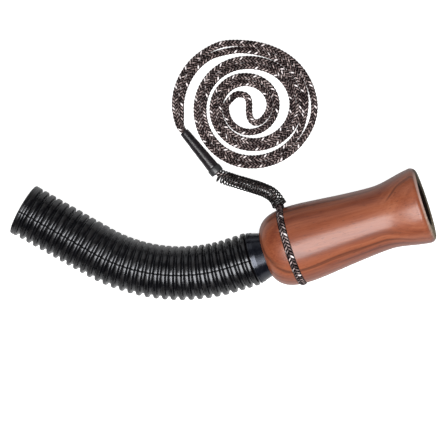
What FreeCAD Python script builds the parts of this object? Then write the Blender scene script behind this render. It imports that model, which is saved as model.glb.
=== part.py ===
import FreeCAD, Part
import math
import os

from FreeCAD import Vector

# Tube-type wooden game call: turned barrel, pull-out reed insert, corrugated hose and corded lanyard.
# Units are millimetres. +X runs along the barrel's bore and out of the mouth end, +Z is up, and the
# call lies on its side with the lanyard coiled flat beside it on the +Y side. The origin is on the
# bore's axis, where the mouth bore's straight wall begins. The ground is at z = GROUND.

# ---------------------------------------------------------------- driving dimensions
BARREL_LENGTH = 80.5  # hose-end face to mouth rim
RIM_X = 1.5  # mouth rim plane
BELLY_R = 18.95  # widest radius of the barrel
MOUTH_BORE_R = 9.2
MOUTH_BORE_LENGTH = 20.0
CHAMBER_R = 10.0  # bore that takes the insert

HOSE_CREST_R = 13.1
HOSE_VALLEY_R = 11.5
HOSE_WALL = 1.0
RIB_PITCH = 3.766
RIBS_PER_SEGMENT = 2
CUFF_RIBS = 4
END_RIBS = 4
END_LIP = 2.3  # flat lip of the open end, beyond its last crest
CURVED_JOINTS = 9  # joints whose rest angle makes the hose's curve
STRAIGHT_JOINTS = 4  # joints in the straight far part
CURVE_PER_JOINT = 5.2  # degrees at rest
JOINT_GAP = 2.3  # open web at each hose joint, so that neighbours can tilt

CORD_R = 1.65  # free braided cord
SQUEEZED_CORD_R = 1.28  # the same cord inside the coil and sleeve
NOOSE_X = -66.0  # place of the lanyard groove on the barrel
NOOSE_CORD_R = 1.75
NOOSE_RING_R = 17.75  # centreline of the noose in its groove
GROUND = -(NOOSE_RING_R + NOOSE_CORD_R)  # the noose stands a little proud of the belly
RUNNING_GAP = 0.05

HOSE_END_X = RIM_X - BARREL_LENGTH  # barrel's hose-end face
X_AXIS = Vector(1, 0, 0)
Z_AXIS = Vector(0, 0, 1)

os.makedirs("parts", exist_ok=True)


# ---------------------------------------------------------------- helpers
def export(name, shape):
    """Writes one node's solid or group of solids."""
    shape.exportStep(f"parts/{name}.step")


def line(a, b):
    return Part.LineSegment(a, b).toShape()


def spline(points, closed=False):
    """Edge through points."""
    curve = Part.BSplineCurve()
    curve.interpolate(Points=points, PeriodicFlag=closed)
    return curve.toShape()


def meridian(x, r):
    """Point of a turned outline, in the half plane above the X axis."""
    return Vector(x, 0, r)


def turned(edges):
    """Solid of revolution about the X axis from a closed outline's edges."""
    face = Part.Face(Part.Wire(edges))
    return face.revolve(Vector(0, 0, 0), X_AXIS, 360)


def turned_polygon(points):
    """Solid of revolution from straight-sided (x, radius) corners."""
    corners = [meridian(x, r) for x, r in points]
    edges = [line(a, b) for a, b in zip(corners, corners[1:] + corners[:1])]
    return turned(edges)


def cylinder(radius, x_from, x_to):
    return Part.makeCylinder(radius, x_to - x_from, Vector(x_from, 0, 0), X_AXIS)


def box(x_from, x_to, half_width, z_from, z_to):
    """Block centred on y = 0."""
    corner = Vector(x_from, -half_width, z_from)
    return Part.makeBox(x_to - x_from, 2 * half_width, z_to - z_from, corner)


def swept_round(edges, radius, coiled=False):
    """Solid round bar along edges; a coiled path keeps its section turned to the coil."""
    first = edges[0]
    start = first.valueAt(first.FirstParameter)
    tangent = first.tangentAt(first.FirstParameter)
    section = Part.Wire(Part.Circle(start, tangent, radius).toShape())
    return Part.Wire(edges).makePipeShell([section], True, coiled)


def ring_x(x, major, minor):
    """Round-section ring about the X axis."""
    return Part.makeTorus(major, minor, Vector(x, 0, 0), X_AXIS)


# ---------------------------------------------------------------- barrel
def make_barrel():
    """Turned hardwood barrel: round nose, full belly, slim waist and a flared, dished mouth."""
    base = HOSE_END_X
    nose_edge_r = 11.4
    # outer outline as (distance from the hose-end face, radius)
    outline = [
        (0.0, nose_edge_r),
        (1.1, 13.5),
        (3.0, 15.6),
        (6.2, 17.5),
        (11.0, 18.65),
        (17.5, BELLY_R),
        (29.0, 18.1),
        (42.0, 16.75),
        (54.0, 15.8),
        (61.0, 15.75),
        (68.5, 17.05),
        (77.0, 18.55),
    ]
    outer = [meridian(base + d, r) for d, r in outline]
    rim_outer_r = 16.9
    rim_inner_r = 15.7
    shoulder = meridian(RIM_X - 1.15, 18.2)
    rim_out = meridian(RIM_X, rim_outer_r)
    rim_in = meridian(RIM_X, rim_inner_r)
    lip_out = meridian(1.15, MOUTH_BORE_R + 0.9)
    lip_mid = meridian(0.5, MOUTH_BORE_R + 0.2)
    lip_in = meridian(0.0, MOUTH_BORE_R)
    bore_end = meridian(-MOUTH_BORE_LENGTH, MOUTH_BORE_R)
    chamber_in = meridian(-MOUTH_BORE_LENGTH - 0.8, CHAMBER_R)
    chamber_out = meridian(base, CHAMBER_R)
    edges = [
        spline(outer),
        Part.Arc(outer[-1], shoulder, rim_out).toShape(),
        line(rim_out, rim_in),
        Part.Arc(rim_in, meridian(1.3, 13.0), lip_out).toShape(),
        Part.Arc(lip_out, lip_mid, lip_in).toShape(),
        line(lip_in, bore_end),
        line(bore_end, chamber_in),
        line(chamber_in, chamber_out),
        line(chamber_out, outer[0]),
    ]
    groove_r = NOOSE_CORD_R + 0.12
    groove = ring_x(NOOSE_X, NOOSE_RING_R, groove_r)
    mouth = cylinder(BELLY_R + 1, NOOSE_X - groove_r, NOOSE_X + groove_r)
    mouth = mouth.cut(cylinder(NOOSE_RING_R, NOOSE_X - groove_r, NOOSE_X + groove_r))
    return turned(edges).cut(groove).cut(mouth)


# ---------------------------------------------------------------- reed insert
INSERT_R = CHAMBER_R - 0.03
INSERT_FRONT_X = -55.0
SOCKET_R = 6.0
SOCKET_BACK_X = -66.0
AIRWAY_R = 4.6
FLANGE_X = -85.4  # hose side of the insert's flange
NIPPLE_R = 10.2
NIPPLE_END_X = -97.5
SEAL_X = (-59.5, -73.0)
SEAL_MINOR_R = 0.75
SEAL_MAJOR_R = INSERT_R - SEAL_MINOR_R


def make_insert_body():
    """Moulded insert: plug with two seal grooves, tapered collar, ringed flange and hose nipple."""
    collar_x = HOSE_END_X - RUNNING_GAP
    barb_r = HOSE_VALLEY_R - HOSE_WALL - RUNNING_GAP
    outline = [
        (INSERT_FRONT_X, SOCKET_R),
        (INSERT_FRONT_X, INSERT_R - 0.8),
        (INSERT_FRONT_X - 0.8, INSERT_R),
    ]
    for x in SEAL_X:
        half = SEAL_MINOR_R + 0.1
        bottom = SEAL_MAJOR_R - SEAL_MINOR_R - 0.02
        outline += [(x + half, INSERT_R), (x + half, bottom), (x - half, bottom), (x - half, INSERT_R)]
    outline += [(collar_x, INSERT_R), (collar_x, 10.7), (collar_x - 4.3, 12.0)]
    # two fine rings between the collar and the flange
    for step in (0.0, 0.75):
        x = collar_x - 4.3 - step
        outline += [(x, 12.25), (x - 0.45, 12.35), (x - 0.45, 11.9), (x - 0.75, 11.9)]
    outline += [
        (FLANGE_X + 0.5, 12.6),
        (FLANGE_X, 12.6),
        (FLANGE_X, NIPPLE_R),
        (NIPPLE_END_X + 3.0, NIPPLE_R),
        (NIPPLE_END_X + 2.2, barb_r),
        (NIPPLE_END_X, NIPPLE_R - 0.9),
        (NIPPLE_END_X, 7.6),
        (NIPPLE_END_X + 6.0, AIRWAY_R),
        (SOCKET_BACK_X, AIRWAY_R),
        (SOCKET_BACK_X, SOCKET_R),
    ]
    return turned_polygon(outline)


def make_seal_ring(x):
    return ring_x(x, SEAL_MAJOR_R, SEAL_MINOR_R)


# ---------------------------------------------------------------- reed assembly
BOARD_R = SOCKET_R - 0.03
BOARD_TIP_X = -27.0
BOARD_TOP_Z = 0.8
REED_THICKNESS = 0.35
REED_HALF_WIDTH = 4.7
REED_TIP_X = -28.5
CLAMP_X = -51.9  # where the reed leaves the wedge and starts to bend
LAY_ANGLE = 3.3  # degrees the board's face falls away from the reed
WEDGE_FRONT_X = -52.2


def make_tone_board():
    """Half-round tone board with a sloped lay and an open air channel."""
    base_x = SOCKET_BACK_X + RUNNING_GAP
    body = cylinder(BOARD_R, base_x, BOARD_TIP_X)
    drop = (BOARD_TIP_X - CLAMP_X) * math.tan(math.radians(LAY_ANGLE))
    reach = BOARD_R + 1.0
    corners = [
        Vector(base_x - 1, -reach, BOARD_TOP_Z),
        Vector(CLAMP_X, -reach, BOARD_TOP_Z),
        Vector(BOARD_TIP_X + 1, -reach, BOARD_TOP_Z - drop),
        Vector(BOARD_TIP_X + 1, -reach, reach),
        Vector(base_x - 1, -reach, reach),
    ]
    above = Part.Face(Part.makePolygon(corners + corners[:1])).extrude(Vector(0, 2 * reach, 0))
    channel_r = 2.4
    channel_end = BOARD_TIP_X - 4.0
    channel = cylinder(channel_r, base_x - 1, channel_end - channel_r)
    channel = channel.fuse(Part.makeSphere(channel_r, Vector(channel_end - channel_r, 0, 0)))
    channel.translate(Vector(0, 0, -1.2))
    slot = box(base_x - 1, channel_end - channel_r, channel_r, -1.2, reach)
    slot = slot.fuse(
        Part.makeCylinder(channel_r, reach + 1.2, Vector(channel_end - channel_r, 0, -1.2), Z_AXIS)
    )
    board = body.cut(above).cut(channel).cut(slot).removeSplitter()
    nose = Part.makeSphere(BOARD_R + 4.2, Vector(BOARD_TIP_X - 8.4, 0, 2.0))
    tip_zone = box(BOARD_TIP_X - 6, BOARD_TIP_X + 1, reach, -reach, reach)
    return board.cut(tip_zone.cut(nose))


def reed_strip(x_from, x_to):
    z = BOARD_TOP_Z + 0.01
    return box(x_from, x_to, REED_HALF_WIDTH, z, z + REED_THICKNESS)


def make_reed_root():
    """Clamped part of the reed."""
    return reed_strip(SOCKET_BACK_X + RUNNING_GAP, CLAMP_X - 0.05)


def make_reed_tongue():
    """Free part of the reed, with a rounded tip."""
    tongue = reed_strip(CLAMP_X + 0.05, REED_TIP_X)
    corners = [e for e in tongue.Edges if e.BoundBox.ZLength > 0.3 and e.BoundBox.XMin > REED_TIP_X - 0.1]
    return tongue.makeFillet(2.6, corners)


def make_reed_wedge():
    """Cork wedge that clamps the reed on the board inside the socket."""
    body = cylinder(BOARD_R, SOCKET_BACK_X + RUNNING_GAP, WEDGE_FRONT_X)
    floor_z = BOARD_TOP_Z + REED_THICKNESS + 0.02
    return body.common(box(SOCKET_BACK_X - 1, WEDGE_FRONT_X + 1, BOARD_R + 1, floor_z, BOARD_R + 1))


TUNING_X = -46.5
TUNING_MINOR_R = 0.8
TUNING_GAP = 0.15  # between the ring and the board or reed


def make_tuning_ring():
    """Rubber ring stretched round the board and reed: round below, flat across the reed."""
    round_r = BOARD_R + TUNING_GAP + TUNING_MINOR_R
    flat_z = BOARD_TOP_Z + REED_THICKNESS + 2 * TUNING_GAP + TUNING_MINOR_R
    sharpness = 9.0
    count = 28
    points = []
    for i in range(count):
        a = 2 * math.pi * i / count
        lift = max(math.sin(a), 1e-3)
        reach = (round_r**-sharpness + (flat_z / lift) ** -sharpness) ** (-1 / sharpness)
        points.append(Vector(TUNING_X, reach * math.cos(a), reach * math.sin(a)))
    return swept_round([spline(points, closed=True)], TUNING_MINOR_R)


# ---------------------------------------------------------------- corrugated hose
SEGMENT_LENGTH = RIB_PITCH * RIBS_PER_SEGMENT
CUFF_START_X = FLANGE_X - 0.2


def rib_radius(u, wall=0.0):
    """Outer radius of the corrugation at u along the hose, with flattened crests and valleys."""
    wave = -math.cos(2 * math.pi * u / RIB_PITCH)
    flat = math.tanh(1.6 * wave) / math.tanh(1.6)
    middle = (HOSE_CREST_R + HOSE_VALLEY_R) / 2
    return middle + flat * (HOSE_CREST_R - HOSE_VALLEY_R) / 2 - wall


def corrugated(u_from, u_to, lip=0.0):
    """Thin-walled corrugated tube along +X, u = 0 lying on a valley, with a plain lip beyond u_to."""
    steps = max(8, round((u_to - u_from) / RIB_PITCH * 10))
    stations = [u_from + (u_to - u_from) * i / steps for i in range(steps + 1)]
    outer = [meridian(u, rib_radius(u)) for u in stations]
    inner = [meridian(u, rib_radius(u, HOSE_WALL)) for u in reversed(stations)]
    edges = [spline(outer), spline(inner), line(inner[-1], outer[0])]
    if lip > 0:
        rounding = 0.4
        top = outer[-1] + X_AXIS * (lip - rounding)
        face_top = top + Vector(rounding, 0, -rounding)
        corner = top + Vector(rounding * math.sin(math.pi / 4), 0, rounding * (math.cos(math.pi / 4) - 1))
        face_low = inner[0] + X_AXIS * lip
        edges += [line(outer[-1], top), Part.Arc(top, corner, face_top).toShape()]
        edges += [line(face_top, face_low), line(face_low, inner[0])]
    else:
        edges.append(line(outer[-1], inner[0]))
    return turned(Part.sortEdges(edges)[0])


def hose_path():
    """Joint points and heading angles (degrees) of the hose at rest, from the cuff outwards."""
    point = Vector(CUFF_START_X - CUFF_RIBS * RIB_PITCH, 0, 0)
    heading = 180.0
    places = []
    for k in range(CURVED_JOINTS + STRAIGHT_JOINTS):
        if k < CURVED_JOINTS:
            heading -= CURVE_PER_JOINT
        places.append((point, heading))
        a = math.radians(heading)
        point = point + Vector(math.cos(a), math.sin(a), 0) * SEGMENT_LENGTH
    return places


def placed(shape, point, heading):
    """Turns a shape made along +X to a heading in the ground plane and moves it to a point."""
    moved = shape.copy()
    moved.rotate(Vector(0, 0, 0), Z_AXIS, heading)
    moved.translate(point)
    return moved


def make_hose():
    """Hose as a chain of short rings: cuff, two-rib segments and the open end."""
    half_gap = JOINT_GAP / 2
    cuff_length = CUFF_RIBS * RIB_PITCH
    cuff = corrugated(0, cuff_length - half_gap)
    nodes = {"hose_cuff": placed(cuff, Vector(CUFF_START_X, 0, 0), 180.0)}
    places = hose_path()
    segment = corrugated(half_gap, SEGMENT_LENGTH - half_gap)
    for number, (point, heading) in enumerate(places[:-1], start=1):
        nodes[f"hose_segment_{number:02d}"] = placed(segment, point, heading)
    last_crest = (END_RIBS - 0.5) * RIB_PITCH
    end = corrugated(half_gap, last_crest, END_LIP)
    nodes["hose_end"] = placed(end, *places[-1])
    return nodes


# ---------------------------------------------------------------- lanyard
SWING_POINT = Vector(NOOSE_X, 20.6, 0)  # where the lanyard swings at the noose's mouth
SLEEVE_START = Vector(-91.9, 44.9, GROUND + 3.6)
SLEEVE_HEADING = 111.7  # degrees
SLEEVE_LENGTH = 26.0
LEG_EXIT = 0.5  # how far the leg cords come out of the sleeve
COIL_TURNS = 25
COIL_MEAN_R = 3.05
COIL_WIRE_R = 0.34
STACK_OFFSET = SQUEEZED_CORD_R + 0.02  # the two strands lie one above the other
SPIRAL_CENTRE = Vector(-68.3, 72.2, 0)
STRAND_SPACING = 2 * CORD_R + 0.1
STRAND_Z = GROUND + CORD_R + 0.06  # strands lying on the ground


def heading_vector(degrees):
    a = math.radians(degrees)
    return Vector(math.cos(a), math.sin(a), 0)


def sleeve_point(reach):
    """Point on the sleeve's axis, reach mm from its coil end."""
    return SLEEVE_START + heading_vector(SLEEVE_HEADING) * reach


def coil_path():
    """Line of the doubled cord from the noose down to the sleeve, as a curve."""
    places = [
        SWING_POINT + Vector(0, 0.6, -0.1),
        Vector(-66.9, 24.6, -1.3),
        Vector(-70.6, 29.2, -4.4),
        Vector(-76.4, 33.3, -8.6),
        Vector(-82.8, 37.6, -12.6),
        Vector(-88.3, 41.6, -15.0),
        sleeve_point(0),
        sleeve_point(3),
    ]
    return spline(places)


def path_frame(path, length):
    """Centre, sideways and upward directions at a length along a curve."""
    parameter = path.getParameterByLength(length)
    tangent = path.tangentAt(parameter)
    side = tangent.cross(Z_AXIS).normalize()
    up = side.cross(tangent).normalize()
    return path.valueAt(parameter), side, up


def corner_arc(corner, back, forward, radius):
    """Arc that rounds a corner between two directions, with its two end points."""
    half = back.getAngle(forward) / 2
    reach = radius / math.tan(half)
    start = corner + back * reach
    end = corner + forward * reach
    inward = (back + forward).normalize()
    middle = corner + inward * (radius / math.sin(half) - radius)
    return start, middle, end


def make_noose_cord():
    """Teardrop loop in the barrel's groove, its two ends leaving side by side for the coil."""
    leave = math.radians(20)
    ring_r = NOOSE_RING_R + 0.02
    level = NOOSE_CORD_R + 0.05
    end_y = SWING_POINT.y - 0.7
    corner_y = (ring_r - level * math.sin(leave)) / math.cos(leave)
    on_ring = Vector(NOOSE_X, ring_r * math.cos(leave), ring_r * math.sin(leave))
    corner = Vector(NOOSE_X, corner_y, level)
    back = (on_ring - corner).normalize()
    rounded = corner_arc(corner, back, Vector(0, 1, 0), 2.2)

    def mirrored(p):
        return Vector(p.x, p.y, -p.z)

    top = [Vector(NOOSE_X, end_y, level), rounded[2], rounded[1], rounded[0], on_ring]
    low = [mirrored(p) for p in top]
    far_side = Vector(NOOSE_X, -ring_r, 0)
    edges = [
        line(top[0], top[1]),
        Part.Arc(top[1], top[2], top[3]).toShape(),
        line(top[3], top[4]),
        Part.Arc(top[4], far_side, low[4]).toShape(),
        line(low[4], low[3]),
        Part.Arc(low[3], low[2], low[1]).toShape(),
        line(low[1], low[0]),
    ]
    return swept_round(edges, NOOSE_CORD_R)


def make_leg_cords():
    """Two squeezed strands from the noose through the coil and the sleeve."""
    path = coil_path()
    samples = 16
    usable = path.Length - 3
    strands = []
    for sign in (1, -1):
        points = []
        for i in range(samples):
            centre, _, up = path_frame(path, usable * i / samples)
            points.append(centre + up * (sign * STACK_OFFSET))
        for reach in (0, 1.5, 4, 8, 16, SLEEVE_LENGTH + LEG_EXIT):
            points.append(sleeve_point(reach) + Z_AXIS * (sign * STACK_OFFSET))
        strands.append(swept_round([spline(points)], SQUEEZED_CORD_R))
    return Part.makeCompound(strands)


def make_tension_spring():
    """Open coil of thin wire round the two strands."""
    path = coil_path()
    per_turn = 10
    count = COIL_TURNS * per_turn
    first = 0.35
    last = path.Length - 4.9
    points = []
    for i in range(count + 1):
        centre, side, up = path_frame(path, first + (last - first) * i / count)
        a = 2 * math.pi * i / per_turn
        points.append(centre + (side * math.cos(a) + up * math.sin(a)) * COIL_MEAN_R)
    return swept_round([spline(points)], COIL_WIRE_R, coiled=True)


def oval_wire(reach, half_width, half_height):
    """Closed upright oval across the sleeve's axis, with straight sides and round ends."""
    straight = half_height - half_width
    across = heading_vector(SLEEVE_HEADING).cross(Z_AXIS)
    base = sleeve_point(reach)

    def at(w, h):
        return base + across * w + Z_AXIS * h

    edges = [
        line(at(half_width, -straight), at(half_width, straight)),
        Part.Arc(at(half_width, straight), at(0, half_height), at(-half_width, straight)).toShape(),
        line(at(-half_width, straight), at(-half_width, -straight)),
        Part.Arc(at(-half_width, -straight), at(0, -half_height), at(half_width, -straight)).toShape(),
    ]
    return Part.Wire(edges)


def oval_loft(sections):
    """Straight-sided solid through upright ovals given as (reach, half width, half height)."""
    return Part.makeLoft([oval_wire(*section) for section in sections], True, True)


def make_lanyard_sleeve():
    """Tapered tube shrunk over the two strands, with a thicker collar at the coil end."""
    tube = oval_loft([(0, 3.0, 3.2), (SLEEVE_LENGTH, 2.2, 2.95)])
    collar = oval_loft([(0, 3.2, 3.3), (0.5, 3.4, 3.5), (3.3, 3.4, 3.5), (3.6, 3.2, 3.35)])
    bore = oval_loft([(-1, 1.42, 2.72), (SLEEVE_LENGTH + 1, 1.42, 2.72)])
    return tube.fuse(collar).cut(bore).removeSplitter()


# Middle of the doubled cord at each quarter turn, clockwise from the sleeve inwards.
SPIRAL_FIRST_ANGLE = 162.15  # degrees
SPIRAL_RADII = [33.6, 27.6, 30.9, 27.7, 22.9, 19.8, 23.6, 19.1, 14.5, 12.2, 12.9]
# The outer strand runs half a turn further in before the bight.
OUTER_STRAND_RADII = [13.2, 8.8]
# Bight in the middle of the spiral, measured from its centre along the spiral's own axes.
BIGHT = [
    (-7.8, 2.9),
    (-5.3, 4.9),
    (-2.3, 5.0),
    (0.3, 3.6),
    (1.1, 0.4),
    (1.1, -3.2),
    (1.7, -6.4),
    (3.6, -8.5),
    (6.3, -8.2),
    (8.9, -6.0),
]


def catmull(values, position):
    """Smooth value between list entries at a fractional position."""
    i = max(0, min(len(values) - 2, math.floor(position)))
    t = position - i
    a, b, c, d = (values[max(0, min(len(values) - 1, i + k))] for k in (-1, 0, 1, 2))
    return b + 0.5 * t * (c - a + t * (2 * a - 5 * b + 4 * c - d + t * (3 * (b - c) + d - a)))


def opening(quarter):
    """Extra distance between the strands where the outer turn gapes a little."""
    return math.exp(-(((quarter - 2.1) / 0.42) ** 2))


def bulge(quarter):
    """How much further out the doubled cord lies soon after it leaves the sleeve."""
    return 1.2 * math.exp(-(((quarter - 0.4) / 0.3) ** 2))


def lean_angle(quarter):
    """Angle of the pair from stacked to side by side, which they reach after half a quarter turn."""
    t = max(0.0, min(1.0, (quarter + 0.25) / 0.75))
    return math.radians(90) * t * (2 - t)


def neck_strand(side):
    """Centreline of a strand from the sleeve inwards: side 1 is the outer strand, -1 the inner."""
    half = STRAND_SPACING / 2
    radii = SPIRAL_RADII + [r - half for r in OUTER_STRAND_RADII] if side > 0 else SPIRAL_RADII
    last = len(radii) - (1.06 if side > 0 else 1.0)
    first = -0.12
    count = round((last - first) * 7)
    points = []
    for i in range(count + 1):
        q = first + (last - first) * i / count
        lean = lean_angle(q)
        radius = catmull(radii, q) + bulge(q) + side * (half * math.sin(lean) + opening(q) / 2)
        raised = STRAND_SPACING * math.cos(lean) if side > 0 else 0
        place = SPIRAL_CENTRE + heading_vector(SPIRAL_FIRST_ANGLE - 90 * q) * radius
        points.append(Vector(place.x, place.y, STRAND_Z + raised))
    return points


def neck_lead(side):
    """First points of a strand, stacked and still straight just behind the sleeve."""
    raised = STRAND_SPACING if side > 0 else 0
    points = []
    for reach in (0.3, 1.3):
        p = sleeve_point(SLEEVE_LENGTH + LEG_EXIT + reach)
        points.append(Vector(p.x, p.y, STRAND_Z + raised))
    return points


def make_neck_cord():
    """One cord: in along the outer strand, round the bight in the middle, out along the inner one."""
    own_x = heading_vector(SPIRAL_FIRST_ANGLE - 180)
    own_y = heading_vector(SPIRAL_FIRST_ANGLE - 90)
    level = Vector(0, 0, STRAND_Z)
    middle = [SPIRAL_CENTRE + own_x * x + own_y * y + level for x, y in BIGHT]
    inward = neck_lead(1) + neck_strand(1)
    outward = list(reversed(neck_lead(-1) + neck_strand(-1)))
    return swept_round([spline(inward + middle + outward)], CORD_R)


# ---------------------------------------------------------------- build
def main():
    nodes = {
        "barrel": make_barrel(),
        "insert_body": make_insert_body(),
        "front_seal_ring": make_seal_ring(SEAL_X[0]),
        "rear_seal_ring": make_seal_ring(SEAL_X[1]),
        "tone_board": make_tone_board(),
        "reed_root": make_reed_root(),
        "reed_tongue": make_reed_tongue(),
        "reed_wedge": make_reed_wedge(),
        "tuning_ring": make_tuning_ring(),
        "noose_cord": make_noose_cord(),
        "leg_cords": make_leg_cords(),
        "tension_spring": make_tension_spring(),
        "lanyard_sleeve": make_lanyard_sleeve(),
        "neck_cord": make_neck_cord(),
    }
    nodes.update(make_hose())
    for name, shape in nodes.items():
        print(f"{name:18s} solids {len(shape.Solids)}  valid {shape.isValid()}  volume {shape.Volume:.1f}")
        export(name, shape)


main()
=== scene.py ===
import math

import bpy
import numpy as np
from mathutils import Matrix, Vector


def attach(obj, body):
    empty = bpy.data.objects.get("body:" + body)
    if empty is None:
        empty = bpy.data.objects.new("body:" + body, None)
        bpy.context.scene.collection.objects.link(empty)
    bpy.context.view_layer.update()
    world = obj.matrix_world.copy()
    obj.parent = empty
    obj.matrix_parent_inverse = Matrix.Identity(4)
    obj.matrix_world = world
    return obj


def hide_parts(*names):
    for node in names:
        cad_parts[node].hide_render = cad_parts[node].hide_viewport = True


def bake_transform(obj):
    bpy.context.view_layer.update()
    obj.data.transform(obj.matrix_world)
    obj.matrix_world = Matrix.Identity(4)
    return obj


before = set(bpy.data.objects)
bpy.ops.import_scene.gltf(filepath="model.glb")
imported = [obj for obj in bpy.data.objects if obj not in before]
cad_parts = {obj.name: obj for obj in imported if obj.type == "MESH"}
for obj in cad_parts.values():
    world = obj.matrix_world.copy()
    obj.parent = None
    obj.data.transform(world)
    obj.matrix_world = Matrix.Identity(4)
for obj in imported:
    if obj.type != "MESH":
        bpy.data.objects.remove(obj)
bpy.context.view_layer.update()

MM = 0.001
rng = np.random.default_rng(7)
Z = np.array([0.0, 0.0, 1.0])


def unit(v):
    return v / np.linalg.norm(v, axis=-1, keepdims=True)


# ------------------------------------------------------------------ dimensions, mm, in the part's frame
GROUND = -19.5

# hose
CREST_R = 13.1
VALLEY_R = 11.5
HOSE_WALL = 1.0
PITCH = 3.766  # between two ribs
SEGMENT = 2 * PITCH  # between two joints
CUFF_START_X = -85.6
CUFF_RIBS = 4
CUFF_LENGTH = CUFF_RIBS * PITCH  # up to the first joint
LAST_CREST = 3.5 * PITCH  # past the last joint
END_LIP = 2.3
CURVED_JOINTS = 9  # the joints beyond them rest straight
JOINTS = 13
CURVE = math.radians(5.2)  # bend at each curved joint
LIP_START = CUFF_LENGTH + SEGMENT * (JOINTS - 1) + LAST_CREST
HOSE_LENGTH = LIP_START + END_LIP
LIP_ROUNDING = 0.45
LIP_GROOVE_DEPTH = 0.26
RIB_FLATNESS = 2.3
RIB_BIAS = 0.30  # makes crests broader than valleys
INNER_CLOSING = 0.6  # share of the rib depth lost where the bend packs the ribs together
RINGS_PER_RIB = 24
HOSE_SIDES = 96
SEAM_ANGLES = (math.radians(88), math.radians(268))  # mould lines
SEAM_WIDTH = 0.17
SEAM_DEPTH = 0.22

# cord
NOOSE_X = -66.0
NOOSE_R = 17.74  # centreline of the noose round the barrel
NOOSE_CORD_R = 1.86
NOOSE_GAP = 0.7  # from the noose's two ends to the swing axis
CORD_R = 1.68
SQUEEZED_R = 1.28  # inside the coil and the sleeve
CORD_STEP = 0.27
SWING = np.array([NOOSE_X, 20.6, 0.0])  # where the lanyard leaves the noose
STACK = SQUEEZED_R + 0.02  # half the distance between the squeezed strands
STRAND_SPACING = 3.22  # the soft strands press into each other
STRAND_Z = GROUND + CORD_R + 0.06
SPIRAL_CENTRE = np.array([-68.3, 72.2, 0.0])
SPIRAL_FIRST_ANGLE = 162.15
# the strand pair's distance from the centre at each quarter turn
SPIRAL_RADII = [33.6, 27.6, 30.9, 27.7, 22.9, 20.6, 24.1, 19.1, 15.0, 12.3, 12.9]
OUTER_STRAND_RADII = [13.2, 10.25]  # the outer strand runs on for two more quarters
# the bight that joins the two strands in the middle of the spiral
BIGHT = [
    (-7.8, 2.9), (-5.3, 4.9), (-2.3, 5.0), (0.3, 3.6), (1.1, 0.4),
    (1.1, -3.2), (1.7, -6.4), (3.6, -8.5), (6.3, -8.2), (8.9, -6.0),
]
NECK_PIECES = 5

# braid
BRAID_PITCH = 10.4
YARNS = 6  # in each direction
BRAID_TURN = math.radians(-15)  # puts a seam between two columns of floats on top
TRACER = (1, 0)  # direction and number of the pale yarn
YARN_SIDES = 8
# painted light across a yarn's sides: full on top, none underneath
YARN_RIDGE = [max(0.0, math.sin(2 * math.pi * (k + 0.5) / YARN_SIDES)) for k in range(YARN_SIDES)]
YARN_HALF_WIDTH = 0.36
TRACER_HALF_WIDTH = 0.46
YARN_HALF_THICKNESS = 0.30
YARN_DEPTH = 0.44  # of a yarn's middle below the cord's skin
YARN_LIFT = 0.20  # how far a yarn rises over and dives under that
CORE_DEPTH = 0.50
CORE_SIDES = 10
FLOAT_COUNT = 4000  # more floats than any yarn has
MOUTH_SHADE_REACH = 3.4  # the yarns this near the noose's mouth are all dark
MOUTH_TONE = 0.12

# coil spring and sleeve
COIL_TURNS = 25
CLOSED_TURNS = 2.0  # wound tight at the noose end
COIL_R = 3.05
COIL_STEPS_PER_TURN = 36
COIL_FIRST = 0.4  # start of the wire along the coil's line
COIL_LAST = 3.7  # end of the wire, from the line's far end
WIRE_R = 0.40
WIRE_SIDES = 10
WIRE_TIP = 0.2
SLEEVE_START = np.array([-91.9, 44.9, GROUND + 3.6])
SLEEVE_HEADING = 111.7
SLEEVE_LENGTH = 26.0
SLEEVE_BORE = (1.42, 2.72)  # half width and half height
STRAND_JOIN = 13.2  # the closed cord's path begins this far along the sleeve
LEG_EXIT = 0.5

# mouth of the barrel, metres as the materials use them
# radii over which the bore is painted dark as shade
BORE_SHADE = (0.0112, 0.0104)
# radii of the painted highlight on the mouth's upper lip
LIP_HIGHLIGHT_BAND = (0.0132, 0.0152)

# camera and light
VIEW_RIGHT = np.array([0.952, -0.306, 0.0])
VIEW_UP = np.array([0.306, 0.952, 0.0])
VIEW_FROM = unit(0.135 * VIEW_RIGHT + 0.037 * VIEW_UP + Z)
VIEW_CENTRE = np.array([-95.1, 21.7, 0.0])
VIEW_DISTANCE = 1600.0
VIEW_WIDTH = 214.0  # shown at the object
SENSOR = 36.0
FLOOR_HALF = 3000.0


# ------------------------------------------------------------------ small helpers

def heading(degrees):
    a = math.radians(degrees)
    return np.array([math.cos(a), math.sin(a), 0.0])


def smoothstep(t):
    t = np.clip(t, 0.0, 1.0)
    return t * t * (3 - 2 * t)


def cubic(knots, values, at):
    """Natural cubic spline through values at knots, read at the given places."""
    n = len(knots)
    h = np.diff(knots)
    m = np.zeros((n, n))
    r = np.zeros((n, values.shape[1]))
    m[0, 0] = m[-1, -1] = 1
    for i in range(1, n - 1):
        m[i, i - 1] = h[i - 1]
        m[i, i] = 2 * (h[i - 1] + h[i])
        m[i, i + 1] = h[i]
        r[i] = 6 * ((values[i + 1] - values[i]) / h[i] - (values[i] - values[i - 1]) / h[i - 1])
    c = np.linalg.solve(m, r)
    k = np.clip(np.searchsorted(knots, at, side="right") - 1, 0, n - 2)
    a = (knots[k + 1] - at)[:, None]
    b = (at - knots[k])[:, None]
    w = h[k][:, None]
    return (
        c[k] * a**3 / (6 * w)
        + c[k + 1] * b**3 / (6 * w)
        + (values[k] / w - c[k] * w / 6) * a
        + (values[k + 1] / w - c[k + 1] * w / 6) * b
    )


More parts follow.
